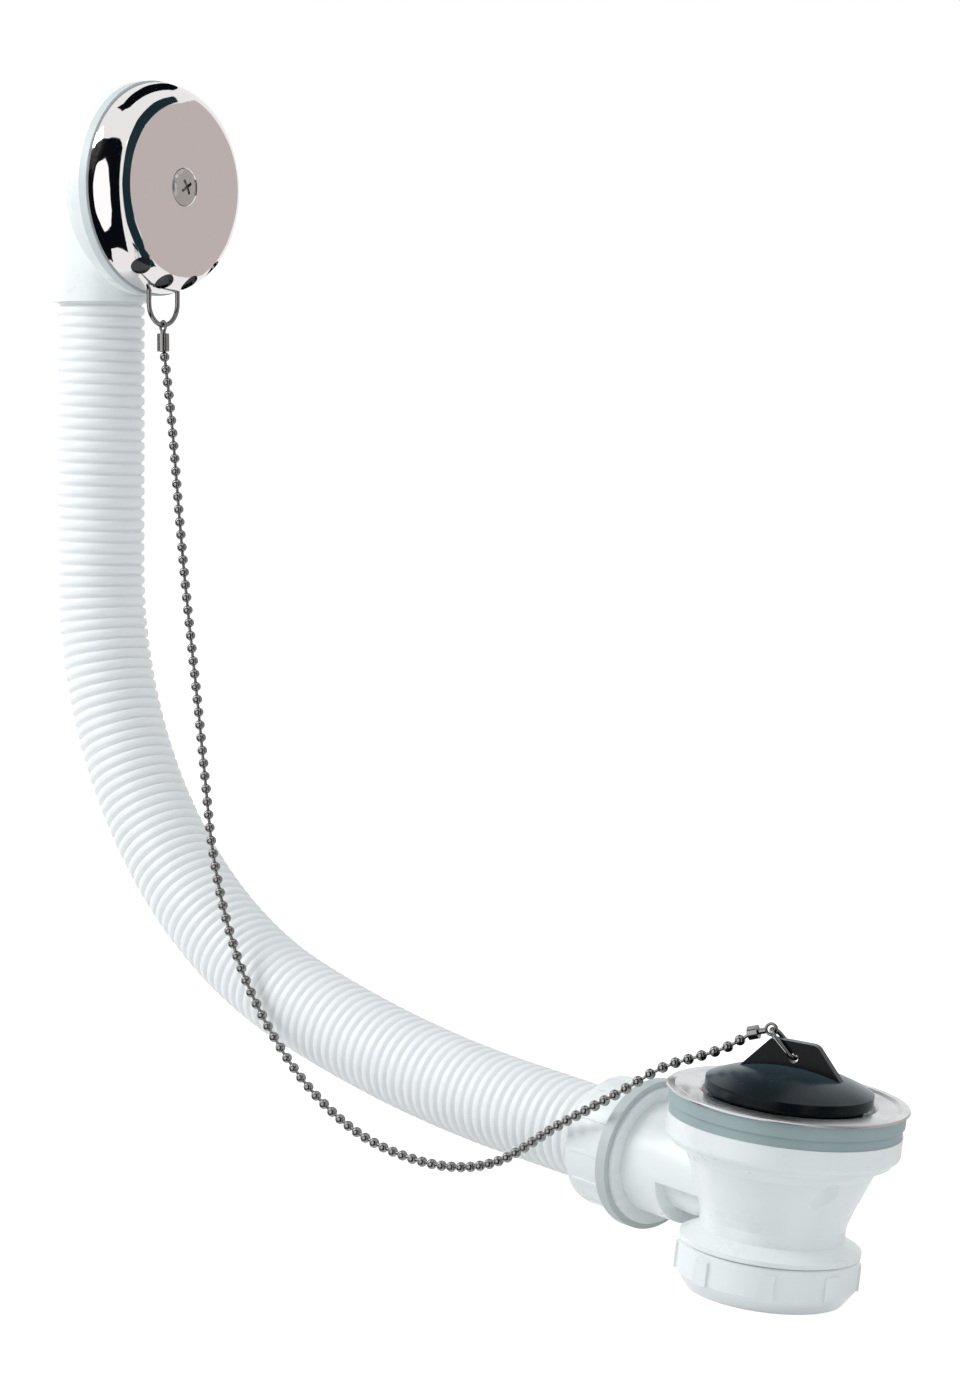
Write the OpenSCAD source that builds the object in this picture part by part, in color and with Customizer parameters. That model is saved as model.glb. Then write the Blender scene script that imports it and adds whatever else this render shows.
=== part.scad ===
// Bath waste with overflow: a flanged waste with a side branch, a corrugated
// hose up to an overflow head, and a rubber plug on a bead chain.
// Origin: on the waste's axis, in the plane between the two flange gaskets,
// where the floor of the bath is clamped. +Z is up out of the bath's floor and
// +X runs from the overflow to the waste. All sizes are in millimetres.

/* [Layout] */
// horizontal distance from the waste's axis to the overflow's wall seat
overflow_reach = 312; // [300:0.5:330]
// height of the overflow's centre over the bath's floor
overflow_rise = 226.5; // [215:0.5:240]
// lean of the bath's end wall, away from the waste at the top
wall_lean = 9; // [8:0.5:12]
// turn of the overflow head on the end of the hose
head_twist = 8; // [0:0.5:10]

/* [Overflow head] */
// outer diameter of the chrome faceplate
faceplate_diameter = 67.4; // [66:0.2:72]
// height of the faceplate over the bath's wall
faceplate_height = 11.8; // [11:0.1:14]
// diameter of the faceplate's flat front
faceplate_flat = 53.2; // [48:0.2:54]
// thickness of the faceplate's pressed metal
faceplate_wall = 1.2; // [0.8:0.1:1.6]
// diameter of one overflow hole
overflow_hole = 6.6; // [5:0.1:7]
// thickness of the overflow gasket
overflow_gasket_thickness = 3; // [2:0.1:3.5]

/* [Hose] */
// outer diameter over the hose's corrugations
hose_diameter = 28.4; // [27.6:0.1:28.6]
// depth of one corrugation
corrugation_depth = 1; // [0.6:0.1:1.2]
// distance from one corrugation to the next
corrugation_pitch = 3.66; // [3.4:0.01:5]
// radius of the hose's long lower sweep
lower_sweep_radius = 500; // [420:10:560]
// slope of the hose where its two bends meet
sweep_slope = 11.5; // [10:0.5:13]
// straight length of hose in front of the side nut
hose_run_in = 37; // [30:1:42]

/* [Waste] */
// diameter of the steel flange
flange_diameter = 70; // [68:0.5:72]
// thickness of the gasket under the steel flange
upper_gasket_thickness = 3.9; // [3:0.1:4.2]
// thickness of the gasket on the waste body
lower_gasket_thickness = 3; // [2.5:0.1:3.5]
// outer diameter of the waste body's neck
neck_diameter = 42; // [41:0.5:43]
// depth of the side branch's axis under the bath's floor
branch_depth = 24.6; // [24:0.1:26]
// outer diameter of the outlet pipe that the waste takes
pipe_diameter = 40; // [40:0.1:40.4]
// total clearance of the pipe in its socket, on the diameter
pipe_clearance = 0.4; // [0.2:0.1:0.6]
// outer diameter of the outlet nut
outlet_nut_diameter = 52; // [51.6:0.2:56]
// number of grip ribs round the outlet nut
outlet_nut_ribs = 8; // [6:1:12]

/* [Plug and chain] */
// diameter of the plug's skirt
plug_diameter = 48.4; // [48:0.2:49.4]
// thickness of the plug's finger grip
grip_thickness = 3.2; // [2.8:0.1:4]
// turn of the grip round the waste's axis, from +X
grip_turn = 25; // [0:5:45]
// diameter of one chain ball
ball_diameter = 3.2; // [2.8:0.1:3.4]
// distance between neighbouring chain balls
ball_pitch = 4.2; // [4:0.1:4.8]

/* [Hidden] */
$fn = 64;
seam = 0.02;
overlap = 0.4;

// overflow head, along its own axis: zero is the bath's wall, minus is behind it
faceplate_radius = faceplate_diameter / 2;
flat_radius = faceplate_flat / 2;
shoulder_start = 1.5;
shoulder_drop = faceplate_radius - flat_radius;
shoulder_climb = faceplate_height - shoulder_start;
shoulder_radius = (shoulder_drop * shoulder_drop + shoulder_climb * shoulder_climb) / (2 * shoulder_drop);
shoulder_centre = faceplate_radius - shoulder_radius;
dimple_radius = 6.2;
dimple_depth = 2;
screw_bore = 3.2;
screw_head_radius = 5.9;
screw_shank_radius = 3;
hole_ring = faceplate_radius - 4;
hole_lean = 48;
hole_step = 23;
hole_count = 4;
gasket_back = -overflow_gasket_thickness;
overflow_gasket_radius = faceplate_radius + 0.6;
elbow_flange_radius = faceplate_radius + 0.3;
elbow_flange_back = gasket_back - 3.8;
cup_radius = 29;
cup_wall = 2.2;
cup_back = elbow_flange_back - 6.2;
cup_taper_back = cup_back - 4.5;
overflow_boss_radius = 5.4;
overflow_boss_back = -14;
overflow_boss_front = -4;
insert_radius = 3.9;

// hose route: straight out of the elbow, a tight bend, a long sweep, straight in
hose_setback = 23.4;
elbow_bend = 17;
elbow_radius = 15.2;
elbow_bore = 12.6;
cup_floor = elbow_bore + 1.8 - hose_setback;
socket_lip_radius = 15.9;
socket_start = 24;
lip_start = 30;
lip_end = 36;
crest_radius = hose_diameter / 2;
valley_radius = crest_radius - corrugation_depth;
hose_bore = valley_radius - 1.2;
valley_share = 0.32;
weld_gap = 0.4;
weld_step = 0.08;
cuff_radius = 13.6;
hose_clearance = 0.15;
start_heading = wall_lean - 90;
meet_heading = -sweep_slope;
branch_axis = -branch_depth;
side_nut_end = -65.6;
hose_in = [side_nut_end - 0.4, branch_axis];
axis_at_overflow = [
    -overflow_reach - hose_setback * cos(wall_lean),
    overflow_rise - hose_setback * sin(wall_lean)
];
sweep_start = hose_in - [hose_run_in, 0]
    - lower_sweep_radius * [-sin(meet_heading), cos(meet_heading) - 1];
start_way = [cos(start_heading), sin(start_heading)];
bend_way = [
    sin(meet_heading) - sin(start_heading),
    cos(start_heading) - cos(meet_heading)
];
route_gap = sweep_start - axis_at_overflow;
route_turn = start_way[0] * bend_way[1] - start_way[1] * bend_way[0];
drop_length = (route_gap[0] * bend_way[1] - route_gap[1] * bend_way[0]) / route_turn;
bend_radius = (start_way[0] * route_gap[1] - start_way[1] * route_gap[0]) / route_turn;
bend_angle = meet_heading - start_heading;
bend_start = axis_at_overflow + drop_length * start_way;

// waste, along its own axis
flange_radius = flange_diameter / 2;
gasket_radius = flange_radius - 1;
body_flange_radius = flange_radius - 1.2;
lower_gasket_radius = body_flange_radius - 0.4;
gasket_bore = 26.5;
rim_bottom = upper_gasket_thickness;
rim_top = rim_bottom + 0.9;
rim_land = rim_top - 0.4;
steel = 0.8;
dish_radius = 25.4;
well_radius = 23.8;
well_floor_radius = 20.6;
well_floor = -7.4;
body_top = -lower_gasket_thickness;
body_flange_bottom = -10;
body_wall = 2.2;
cone_top_radius = body_flange_radius - 6.8;
cone_top = -14.8;
neck_radius = neck_diameter / 2;
neck_top = -31.5;
neck_bottom = -35;
stop_radius = 26.2;
stop_top = -37.8;
stop_bottom = -39.2;
thread_radius = 23.9;
pipe_bore = (pipe_diameter + pipe_clearance) / 2;
pipe_stop = -41;
pipe_stop_radius = 18.2;
outlet_nut_radius = outlet_nut_diameter / 2;
outlet_nut_top = stop_bottom - 0.4;
outlet_nut_bottom = -53.2;
outlet_nut_lip = 2.2;
slip_ring_bottom = outlet_nut_bottom + outlet_nut_lip;
seal_bottom = slip_ring_bottom + 1;
tail_end = seal_bottom + 2.2;
hub_radius = 6;
hub_top = -13;
hub_bottom = -27;
rib_thickness = 2.4;

// side branch, along X
branch_radius = 16.6;
branch_bore = cuff_radius + 0.2;
branch_mouth = -61;
branch_stop = -45.7;
branch_stop_radius = 20.4;
collar_front = -46.9;
collar_back = -50.5;
collar_radius = 22.2;
side_nut_radius = 19.2;
side_nut_bore = branch_radius + 0.15;
side_nut_lip = 2;
pocket_start = -32;
pocket_top = -27.3;
pocket_core = 13;
duct_radius = 10.6;

// plug and chain
plug_radius = plug_diameter / 2;
plug_bottom = -3.6;
skirt_bottom = rim_land + 0.05;
skirt_top = skirt_bottom + 3.3;
plug_crown = skirt_top + 5.6;
crown_rise = plug_crown - skirt_top;
crown_radius = (plug_radius * plug_radius + crown_rise * crown_rise) / (2 * crown_rise);
grip_base = skirt_top + 1;
grip_foot = 17.2;
grip_head = 6.8;
grip_top = 20.6;
grip_hole = [0.4, 15.9];
grip_hole_radius = 1.4;
link_wire = 0.7;
link_reach = 4.7;
link_lean = 42;
ball_radius = ball_diameter / 2;
pin_radius = 0.5;
coupling_radius = 2;
eye_radius = 1.6;
eye_wire = 0.45;
stirrup_wire = 0.8;
stirrup_radius = 7;
stirrup_out = 2.9;
stirrup_bend = faceplate_radius + 3;
stirrup_top = faceplate_radius - 5;
// the hanging part of the chain: shares of the reach and of the rise, sideways in mm
chain_hang = [
    [-0.933, 1.5, 0.678], [-0.894, -2, 0.552], [-0.856, -6, 0.446], [-0.811, -10, 0.318],
    [-0.772, -14, 0.212], [-0.74, -17, 0.124], [-0.705, -18, 0.035], [-0.66, -18, -0.049],
    [-0.596, -18, -0.124], [-0.529, -18, -0.172], [-0.455, -19, -0.194],
    [-0.369, -19, -0.192], [-0.292, -20, -0.159], [-0.215, -22, -0.084]
];
// its last part, over the flange to the clasp on the plug's link
chain_end = [
    [-46, -22, -4.5], [-35, -15.8, 5.6], [-25.2, -11.8, 11], [-18, -8.4, 15.2], [-11.9, -5.5, 20.6]
];
route_steps = 12;

function between(a, b, t) = a + (b - a) * t;

// a point on the smooth curve through the route's points, with t running over the span
function curve_point(a, b, c, d, t) =
    0.5 * ((2 * b) + (c - a) * t + (2 * a - 5 * b + 4 * c - d) * t * t
    + (3 * b - a - 3 * c + d) * t * t * t);
function route_point(points, i) = points[max(0, min(len(points) - 1, i))];
function smooth_route(points, steps) = [
    for (i = [0:len(points) - 2], k = [0:steps - 1])
        curve_point(
            route_point(points, i - 1), points[i], points[i + 1],
            route_point(points, i + 2), k / steps
        ),
    points[len(points) - 1]
];
function route_lengths(points, i = 1, sums = [0]) =
    i >= len(points) ? sums
    : route_lengths(points, i + 1, concat(sums, sums[i - 1] + norm(points[i] - points[i - 1])));
function axis_table(points, sums, axis) = [
    for (i = [0:len(points) - 1]) [sums[i], points[i][axis]]
];

stirrup_down = stirrup_bend + stirrup_radius;
stirrup_ahead = (stirrup_out + hose_setback) * cos(head_twist) - hose_setback;
stirrup_low = [
    -overflow_reach + stirrup_ahead * cos(wall_lean) + stirrup_down * sin(wall_lean),
    (stirrup_out + hose_setback) * sin(head_twist),
    overflow_rise + stirrup_ahead * sin(wall_lean) - stirrup_down * cos(wall_lean)
];
chain_route = [
    stirrup_low + [1.2, -0.2, -6],
    for (p = chain_hang) [p[0] * overflow_reach, p[1], p[2] * overflow_rise],
    for (p = chain_end) p
];
smooth_chain = smooth_route(chain_route, route_steps);
chain_sums = route_lengths(smooth_chain);
chain_length = chain_sums[len(chain_sums) - 1];
ball_gaps = round(chain_length / ball_pitch);
balls = [
    for (i = [0:ball_gaps]) [
        for (axis = [0:2])
            lookup(chain_length * i / ball_gaps, axis_table(smooth_chain, chain_sums, axis))
    ]
];

module ring(outer, inner, bottom, top) {
    translate([0, 0, bottom])
        difference() {
            cylinder(r = outer, h = top - bottom);
            translate([0, 0, -seam])
                cylinder(r = inner, h = top - bottom + 2 * seam);
        }
}

// children drawn with Z out of the bath's end wall and X down it, along the hose
module at_overflow() {
    translate([-overflow_reach, 0, overflow_rise])
        rotate([0, 90 - wall_lean, 0])
            translate([0, 0, -hose_setback])
                rotate([-head_twist, 0, 0])
                    translate([0, 0, hose_setback])
                        children();
}

// children drawn with Z along +X, on the side branch's axis
module along_branch() {
    translate([0, 0, branch_axis])
        rotate([0, 90, 0])
            children();
}

// children drawn at a place with Z along a direction
module facing(place, way) {
    translate(place)
        rotate([0, acos(way[2] / norm(way)), atan2(way[1], way[0])])
            children();
}

// a rod from one point to another
module rod(from, to, radius) {
    facing(from, to - from)
        cylinder(r = radius, h = norm(to - from));
}

module faceplate_outline(inset) {
    radius = shoulder_radius - inset;
    intersection() {
        union() {
            translate([shoulder_centre, shoulder_start])
                circle(r = radius, $fn = 96);
            square([shoulder_centre, faceplate_height - inset]);
            square([faceplate_radius - inset, shoulder_start]);
        }
        square([faceplate_radius, faceplate_height - inset]);
    }
}

module overflow_faceplate() {
    color("silver")
        at_overflow()
            difference() {
                union() {
                    rotate_extrude($fn = 128)
                        difference() {
                            faceplate_outline(0);
                            translate([0, -seam])
                                faceplate_outline(faceplate_wall);
                        }
                    translate([0, 0, faceplate_height - dimple_depth - faceplate_wall])
                        cylinder(r = dimple_radius + 1, h = dimple_depth + faceplate_wall - overlap);
                }
                translate([0, 0, faceplate_height - dimple_depth])
                    cylinder(r1 = dimple_radius - dimple_depth, r2 = dimple_radius + seam, h = dimple_depth + seam);
                cylinder(r = screw_bore, h = faceplate_height);
                for (i = [0:hole_count - 1])
                    rotate([0, 0, hole_step * (i - (hole_count - 1) / 2)])
                        translate([hole_ring, 0, faceplate_height / 2 + 1.6])
                            rotate([0, hole_lean, 0])
                                translate([0, 0, -5])
                                    cylinder(r = overflow_hole / 2, h = 10);
                for (side = [-1, 1])
                    translate([shoulder_centre, side * stirrup_radius, stirrup_out])
                        rotate([0, 90, 0])
                            cylinder(r = stirrup_wire + 0.1, h = faceplate_radius);
            }
}

module overflow_screw() {
    head_seat = faceplate_height - dimple_depth;
    color("gainsboro")
        at_overflow()
            difference() {
                union() {
                    translate([0, 0, head_seat + 0.05])
                        cylinder(r1 = dimple_radius - dimple_depth - 0.1, r2 = screw_head_radius, h = 1.8);
                    intersection() {
                        translate([0, 0, head_seat + 1.8 - 12])
                            sphere(r = 13.3);
                        translate([0, 0, head_seat + 1.8])
                            cylinder(r = screw_head_radius, h = 3);
                    }
                    translate([0, 0, overflow_boss_back + 1])
                        cylinder(r = screw_shank_radius, h = head_seat - overflow_boss_back);
                }
                for (turn = [0, 90])
                    rotate([0, 0, turn + 30])
                        translate([-2.6, -0.5, head_seat + 1.8])
                            cube([5.2, 1, 4]);
            }
}

module overflow_gasket() {
    color("slategray")
        at_overflow()
            ring(overflow_gasket_radius, cup_radius - 4, gasket_back, 0);
}

module elbow_turn(radius) {
    translate([elbow_bend, 0, elbow_bend - hose_setback])
        rotate([90, 0, 0])
            rotate_extrude(angle = 90, start = 180)
                translate([elbow_bend, 0])
                    circle(r = radius);
}

module elbow_outside() {
    ring_height = gasket_back - elbow_flange_back;
    translate([0, 0, elbow_flange_back])
        cylinder(r = elbow_flange_radius, h = ring_height);
    translate([0, 0, cup_back])
        cylinder(r = cup_radius, h = gasket_back - cup_back);
    translate([0, 0, cup_taper_back])
        cylinder(r1 = elbow_radius + 4, r2 = cup_radius, h = cup_back - cup_taper_back);
    elbow_turn(elbow_radius);
    translate([elbow_bend, 0, -hose_setback])
        rotate([0, 90, 0]) {
            cylinder(r = elbow_radius, h = lip_end - elbow_bend);
            translate([0, 0, lip_start - elbow_bend])
                cylinder(r = socket_lip_radius, h = lip_end - lip_start);
        }
}

module overflow_elbow() {
    color("white")
        at_overflow() {
            difference() {
                elbow_outside();
                translate([0, 0, cup_floor])
                    cylinder(r = cup_radius - cup_wall, h = -cup_back);
                translate([0, 0, elbow_bend - hose_setback - 1])
                    cylinder(r = elbow_bore, h = 12);
                translate([0, 0, cup_taper_back])
                    cylinder(r = elbow_bore, h = cup_floor - cup_taper_back + 1);
                elbow_turn(elbow_bore);
                translate([elbow_bend - seam, 0, -hose_setback])
                    rotate([0, 90, 0]) {
                        cylinder(r = elbow_bore, h = lip_end);
                        translate([0, 0, socket_start - elbow_bend])
                            cylinder(r = cuff_radius + hose_clearance, h = lip_end);
                    }
            }
            overflow_spider();
        }
}

// the bar across the overflow's passage that takes the faceplate screw
module overflow_spider() {
    difference() {
        union() {
            translate([0, 0, overflow_boss_back])
                cylinder(r = overflow_boss_radius, h = overflow_boss_front - overflow_boss_back);
            translate([-rib_thickness / 2, -elbow_bore - 1, overflow_boss_back])
                cube([rib_thickness, 2 * elbow_bore + 2, 6]);
        }
        translate([0, 0, overflow_boss_back + 1])
            cylinder(r = insert_radius, h = 20);
    }
}

module overflow_insert() {
    color("goldenrod")
        at_overflow()
            ring(insert_radius, screw_shank_radius, overflow_boss_back + 1, overflow_boss_front - 1);
}

// a straight length of corrugated hose along +Z
module straight_corrugation(length) {
    count = round(length / corrugation_pitch);
    pitch = length / count;
    valley = pitch * valley_share;
    rotate_extrude()
        difference() {
            union() {
                square([valley_radius, length]);
                for (i = [0:count - 1])
                    translate([0, pitch * i + valley / 2])
                        square([crest_radius, pitch - valley]);
            }
            translate([0, -1])
                square([hose_bore, length + 2]);
        }
}

// a bend of corrugated hose round Z, from the -X side, with the bend's radius
module bent_corrugation(radius, angle, start) {
    count = round(radius * angle * PI / 180 / corrugation_pitch);
    pitch = angle / count;
    valley = pitch * valley_share;
    rotate_extrude(angle = angle, start = start, $fn = 128)
        translate([radius, 0])
            hose_section(valley_radius, hose_bore);
    for (i = [0:count - 1])
        rotate_extrude(angle = pitch - valley, start = start + pitch * i + valley / 2, $fn = 128)
            translate([radius, 0])
                hose_section(crest_radius, (hose_bore + valley_radius) / 2);
}

module hose_section(outer, inner) {
    difference() {
        circle(r = outer, $fn = 48);
        circle(r = inner, $fn = 48);
    }
}

// a thin band over the join between a bend and the next length of hose, along +X
module hose_weld() {
    rotate([0, 90, 0])
        ring(valley_radius + weld_step, hose_bore - weld_step, -2 * weld_gap, 2 * weld_gap);
}

module hose() {
    bend_trim = 180 * weld_gap / bend_radius / PI;
    color("whitesmoke") {
        translate([bend_start[0], 0, bend_start[1]])
            rotate([0, -start_heading, 0])
                hose_weld();
        translate([sweep_start[0], 0, sweep_start[1]])
            rotate([0, sweep_slope, 0])
                hose_weld();
        translate([hose_in[0] - hose_run_in, 0, hose_in[1]])
            hose_weld();
        at_overflow()
            translate([socket_start + 0.4, 0, -hose_setback])
                rotate([0, 90, 0])
                    ring(cuff_radius, hose_bore, 0, lip_end - socket_start + 0.2);
        at_overflow()
            translate([lip_end + 0.4, 0, -hose_setback])
                rotate([0, 90, 0])
                    straight_corrugation(drop_length - lip_end - 0.4 - weld_gap);
        translate([bend_start[0], 0, bend_start[1]])
            rotate([90, 0, 0])
                translate([-bend_radius * sin(start_heading), bend_radius * cos(start_heading), 0])
                    bent_corrugation(bend_radius, bend_angle - bend_trim, start_heading - 90);
        translate([hose_in[0] - hose_run_in, 0, hose_in[1]])
            rotate([90, 0, 0])
                translate([0, lower_sweep_radius, 0])
                    bent_corrugation(lower_sweep_radius, sweep_slope, meet_heading - 90);
        translate([hose_in[0] - hose_run_in + weld_gap, 0, hose_in[1]])
            rotate([0, 90, 0])
                straight_corrugation(hose_run_in - weld_gap);
        translate([hose_in[0] - 0.4, 0, hose_in[1]])
            rotate([0, 90, 0])
                ring(cuff_radius, hose_bore, 0, 15);
    }
}

// the wire loop under the faceplate that the chain hangs from
module chain_stirrup() {
    color("silver")
        at_overflow()
            translate([stirrup_bend, 0, stirrup_out]) {
                rotate_extrude(angle = 180, start = -90)
                    translate([stirrup_radius, 0])
                        circle(r = stirrup_wire, $fn = 24);
                for (side = [-1, 1])
                    translate([stirrup_top - stirrup_bend, side * stirrup_radius, 0]) {
                        rotate([0, 90, 0])
                            cylinder(r = stirrup_wire, h = stirrup_bend - stirrup_top, $fn = 24);
                        sphere(r = stirrup_wire * 1.6, $fn = 24);
                    }
            }
}

// a pressed clasp that holds the end ball of the chain, with a wire eye
module coupling(ball, eye, front, back) {
    way = (eye - ball) / norm(eye - ball);
    difference() {
        union() {
            rod(ball - way * front, ball + way * back, coupling_radius);
            rod(ball + way * (back - 0.3), eye - way * eye_radius, 0.9);
        }
        bead(ball, way, ball_radius + 0.05);
        rod(ball - way * (front + 1), ball, ball_radius - 0.35);
    }
    facing(eye, way)
        rotate([90, 0, 0])
            rotate_extrude($fn = 32)
                translate([eye_radius, 0])
                    circle(r = eye_wire, $fn = 16);
}

// one ball of the chain, with its poles to the side of the chain's direction
module bead(place, way, radius) {
    facing(place, way)
        rotate([90, 0, 0])
            sphere(r = radius, $fn = 24);
}

module upper_coupling() {
    color("silver")
        coupling(balls[0], stirrup_low - [0, 0, 0.3], 2.3, 3.4);
}

module bead_chain() {
    last = len(balls) - 1;
    color("silver") {
        for (i = [0:last])
            bead(balls[i], balls[min(i + 1, last)] - balls[max(i - 1, 0)], ball_radius);
        for (i = [1:last])
            rod(balls[i - 1], balls[i], pin_radius, $fn = 16);
    }
}

function turned(along, up) = [
    along * cos(grip_turn), along * sin(grip_turn), up
];
link_half = grip_thickness / 2 + link_wire + 0.6;
link_start = link_half - 0.25;
link_tip = link_start + link_reach + link_half;
link_far = turned(
    grip_hole[0] - link_tip * cos(link_lean),
    grip_hole[1] + link_tip * sin(link_lean)
);

module lower_coupling() {
    ball = balls[len(balls) - 1];
    color("silver")
        coupling(ball, link_far + 0.3 * (ball - link_far) / norm(ball - link_far), 0.9, 2.05);
}

// the wire loop through the plug's grip, which leans towards the chain
module plug_link() {
    color("silver")
        translate(turned(grip_hole[0], grip_hole[1]))
            rotate([0, 0, grip_turn])
                rotate([0, link_lean - 90, 0])
                    for (end = [0, 1])
                        translate([0, 0, link_start + end * link_reach]) {
                            rotate([90, 0, 90])
                                rotate_extrude(angle = 180, start = 180 * (1 - end))
                                    translate([link_half, 0])
                                        circle(r = link_wire, $fn = 20);
                            for (side = [-link_half, link_half])
                                translate([0, side, -end * link_reach / 2])
                                    cylinder(r = link_wire, h = link_reach / 2, $fn = 20);
                        }
}

module plug() {
    color("dimgray")
        difference() {
            union() {
                rotate_extrude($fn = 96)
                    plug_outline();
                rotate([0, 0, grip_turn])
                    translate([0, grip_thickness / 2, 0])
                        rotate([90, 0, 0])
                            linear_extrude(grip_thickness)
                                grip_outline();
            }
            rotate([0, 0, grip_turn])
                translate([grip_hole[0], 0, grip_hole[1]])
                    rotate([90, 0, 0])
                        cylinder(r = grip_hole_radius, h = 20, center = true, $fn = 24);
        }
}

module plug_outline() {
    edge = 0.6;
    intersection() {
        translate([0, plug_crown - crown_radius])
            circle(r = crown_radius, $fn = 256);
        union() {
            translate([0, skirt_bottom + edge])
                square([plug_radius, plug_crown]);
            translate([0, skirt_bottom])
                square([plug_radius - edge, plug_crown]);
            translate([plug_radius - edge, skirt_bottom + edge])
                circle(r = edge, $fn = 24);
        }
    }
    polygon([
        [0, plug_bottom], [plug_radius - 4, plug_bottom],
        [plug_radius - 1.8, skirt_bottom + 1], [0, skirt_bottom + 1]
    ]);
}

// the finger grip, with the corners of its top rounded
module grip_outline() {
    slope = atan2(grip_top - grip_base, grip_foot - grip_head);
    for (side = [0, 1])
        mirror([side, 0])
            grip_half(slope, side == 0 ? 3 : 1.2);
}

module grip_half(slope, round_end) {
    corner = [grip_head - round_end * tan(slope / 2), grip_top - round_end];
    polygon([
        [0, grip_base], [grip_foot, grip_base],
        corner + round_end * [sin(slope), cos(slope)],
        [corner[0], grip_top], [0, grip_top]
    ]);
    translate(corner)
        circle(r = round_end, $fn = 32);
}

module strainer_flange() {
    color("lightgray")
        difference() {
            rotate_extrude($fn = 128)
                strainer_outline();
            translate([0, 0, well_floor - 1])
                cylinder(r = screw_bore, h = steel + 2);
            for (i = [0:5])
                rotate([0, 0, 60 * i + 30])
                    translate([12.6, 0, well_floor - 1])
                        cylinder(r = 5, h = 4, $fn = 32);
        }
}

module strainer_outline() {
    polygon([
        [0, well_floor], [well_floor_radius, well_floor],
        [well_radius, rim_bottom - 2.6], [dish_radius, rim_bottom],
        [flange_radius - 0.4, rim_bottom], [flange_radius, rim_bottom + 0.3],
        [flange_radius, rim_top - 0.35], [flange_radius - 0.35, rim_top],
        [flange_radius - 2.4, rim_top], [flange_radius - 3.8, rim_land],
        [dish_radius + 0.4, rim_land], [dish_radius - 0.5, rim_land - 0.5],
        [well_radius - 0.6, rim_bottom - 2], [well_floor_radius - 0.6, well_floor + steel],
        [0, well_floor + steel]
    ]);
}

module waste_screw() {
    head_seat = well_floor + steel;
    color("gainsboro")
        difference() {
            union() {
                translate([0, 0, head_seat])
                    cylinder(r = 5, h = 2.2);
                translate([0, 0, hub_bottom + 3])
                    cylinder(r = screw_shank_radius, h = head_seat - hub_bottom - 2);
            }
            for (turn = [0, 90])
                rotate([0, 0, turn])
                    translate([-2.6, -0.5, head_seat + 1])
                        cube([5.2, 1, 4]);
        }
}

module waste_insert() {
    color("goldenrod")
        ring(insert_radius, screw_shank_radius, hub_bottom + 2, hub_top);
}

module upper_gasket() {
    color("slategray")
        ring(gasket_radius, gasket_bore, 0, upper_gasket_thickness);
}

module lower_gasket() {
    color("slategray")
        ring(lower_gasket_radius, gasket_bore, -lower_gasket_thickness, 0);
}

// half the waste body's outside, from its flange to the threaded tail
module body_outline() {
    round_edge = 1.6;
    polygon([
        [0, body_top], [body_flange_radius, body_top],
        [body_flange_radius, body_flange_bottom + round_edge],
        [body_flange_radius - round_edge, body_flange_bottom + round_edge],
        [body_flange_radius - round_edge, body_flange_bottom],
        [body_flange_radius - 2.2, body_flange_bottom - 1.4],
        [cone_top_radius + 1.6, cone_top + 2], [cone_top_radius, cone_top],
        [cone_top_radius - 2, neck_top + 11.5], [neck_radius + 1.8, neck_top + 6.1],
        [neck_radius + 0.6, neck_top + 2.5],
        [neck_radius, neck_top], [neck_radius, neck_bottom],
        [stop_radius, stop_top], [stop_radius, stop_bottom],
        [thread_radius, stop_bottom], [thread_radius, tail_end], [0, tail_end]
    ]);
    translate([body_flange_radius - round_edge, body_flange_bottom + round_edge])
        circle(r = round_edge, $fn = 32);
}

module body_inside() {
    wall = body_wall;
    polygon([
        [0, body_top + 1], [gasket_bore, body_top + 1], [gasket_bore, cone_top + 3],
        [cone_top_radius - wall, cone_top], [neck_radius - wall - 0.4, neck_top],
        [neck_radius - wall - 0.4, neck_bottom], [pipe_stop_radius, pipe_stop],
        [pipe_bore, pipe_stop], [pipe_bore, tail_end - 1], [0, tail_end - 1]
    ]);
}

module waste_body() {
    color("white") {
        difference() {
            union() {
                rotate_extrude($fn = 96)
                    body_outline();
                branch_outside();
            }
            rotate_extrude($fn = 96)
                body_inside();
            branch_inside();
        }
        waste_spider();
    }
}

module branch_outside() {
    difference() {
        along_branch()
            translate([0, 0, branch_mouth])
                cylinder(r = branch_radius, h = -branch_mouth - 10);
        branch_pocket();
    }
    along_branch() {
        translate([0, 0, pocket_start - 3])
            cylinder(r = pocket_core, h = -pocket_start - 10);
        translate([0, 0, collar_front])
            cylinder(r = branch_stop_radius, h = branch_stop - collar_front);
    }
}

// clears the outlet nut's grip: the lower half of the branch is stepped in
module branch_pocket() {
    depth = 30;
    translate([pocket_start, -depth, pocket_top - depth])
        cube([depth, 2 * depth, depth]);
}

module branch_inside() {
    along_branch() {
        translate([0, 0, branch_mouth - 1])
            cylinder(r = branch_bore, h = pocket_start - branch_mouth - 3);
        translate([0, 0, branch_mouth])
            cylinder(r = duct_radius, h = -branch_mouth - 12);
    }
}

// the cross ribs and hub that take the strainer's screw
module waste_spider() {
    reach = 22;
    difference() {
        union() {
            translate([0, 0, hub_bottom])
                cylinder(r = hub_radius, h = hub_top - hub_bottom);
            intersection() {
                for (turn = [45, 135])
                    rotate([0, 0, turn])
                        translate([-reach, -rib_thickness / 2, hub_bottom])
                            cube([2 * reach, rib_thickness, hub_top - hub_bottom - 4]);
                translate([0, 0, hub_bottom - 1])
                    cylinder(r1 = neck_radius - 1, r2 = cone_top_radius - 1.6, h = 14);
            }
        }
        translate([0, 0, hub_bottom + 2])
            cylinder(r = insert_radius, h = hub_top - hub_bottom);
    }
}

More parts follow.
